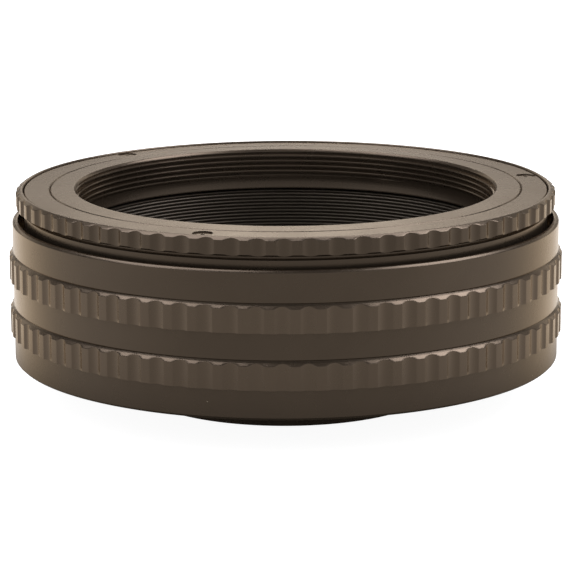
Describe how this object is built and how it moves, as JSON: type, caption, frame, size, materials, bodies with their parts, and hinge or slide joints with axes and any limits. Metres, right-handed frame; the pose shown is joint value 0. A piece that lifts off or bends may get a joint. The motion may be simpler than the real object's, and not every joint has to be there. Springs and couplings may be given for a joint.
{
  "type": "focusing helicoid adapter",
  "caption": "Focusing helicoid adapter: turning the fluted outer sleeve slides the threaded front ring out from a threaded rear mount without rotating it.",
  "frame": {"origin": "on the optical axis, at the end of the rear thread, where the adapter stands on a table", "axes": "+Z along the optical axis towards the front (lens) thread, -Z towards the camera; +X is along the stop pin's radius"},
  "size_m": [0.0766, 0.0766, 0.029],
  "materials": {
    "black_anodised": "satin black anodised, fine turned grain",
    "black_anodised_matt": "matt black anodised, threaded or grooved",
    "brass": "machined",
    "screw_steel": "bright turned",
    "blackened_steel": "blackened",
    "washer_plastic": "slippery white plastic"
  },
  "bodies": {
    "mount": {"rear_mount": "black_anodised", "guide_tube": "black_anodised_matt", "guide_key_a": "brass", "guide_key_b": "brass", "key_screw_a_low": "screw_steel", "key_screw_a_high": "screw_steel", "key_screw_b_low": "screw_steel", "key_screw_b_high": "screw_steel", "rear_washer": "washer_plastic", "front_washer": "washer_plastic", "retaining_ring": "black_anodised", "retaining_screw_a": "screw_steel", "retaining_screw_b": "screw_steel", "retaining_screw_c": "screw_steel", "retaining_screw_d": "screw_steel"},
    "focus_ring": {"grip_sleeve": "black_anodised", "helicoid_nut": "brass", "stop_pin": "screw_steel"},
    "front": {"inner_barrel": "black_anodised", "helicoid_bush": "brass", "front_grip_ring": "black_anodised", "face_ring": "black_anodised", "thread_insert": "black_anodised_matt", "face_screw_a": "blackened_steel", "face_screw_b": "blackened_steel", "face_screw_c": "blackened_steel"}
  },
  "joints": [
    {"name": "focus_turn", "type": "hinge", "parent": "mount", "child": "focus_ring", "pos_m": [0, 0, 0], "axis": [0, 0, 1], "range_deg": [0, 270]},
    {"name": "front_slide", "type": "slide", "parent": "mount", "child": "front", "axis": [0, 0, 1], "range_m": [0, 0.009]}
  ],
  "couplings": [
    {"joint": "front_slide", "follows": "focus_turn", "m_per_rad": 0.0019099}
  ]
}
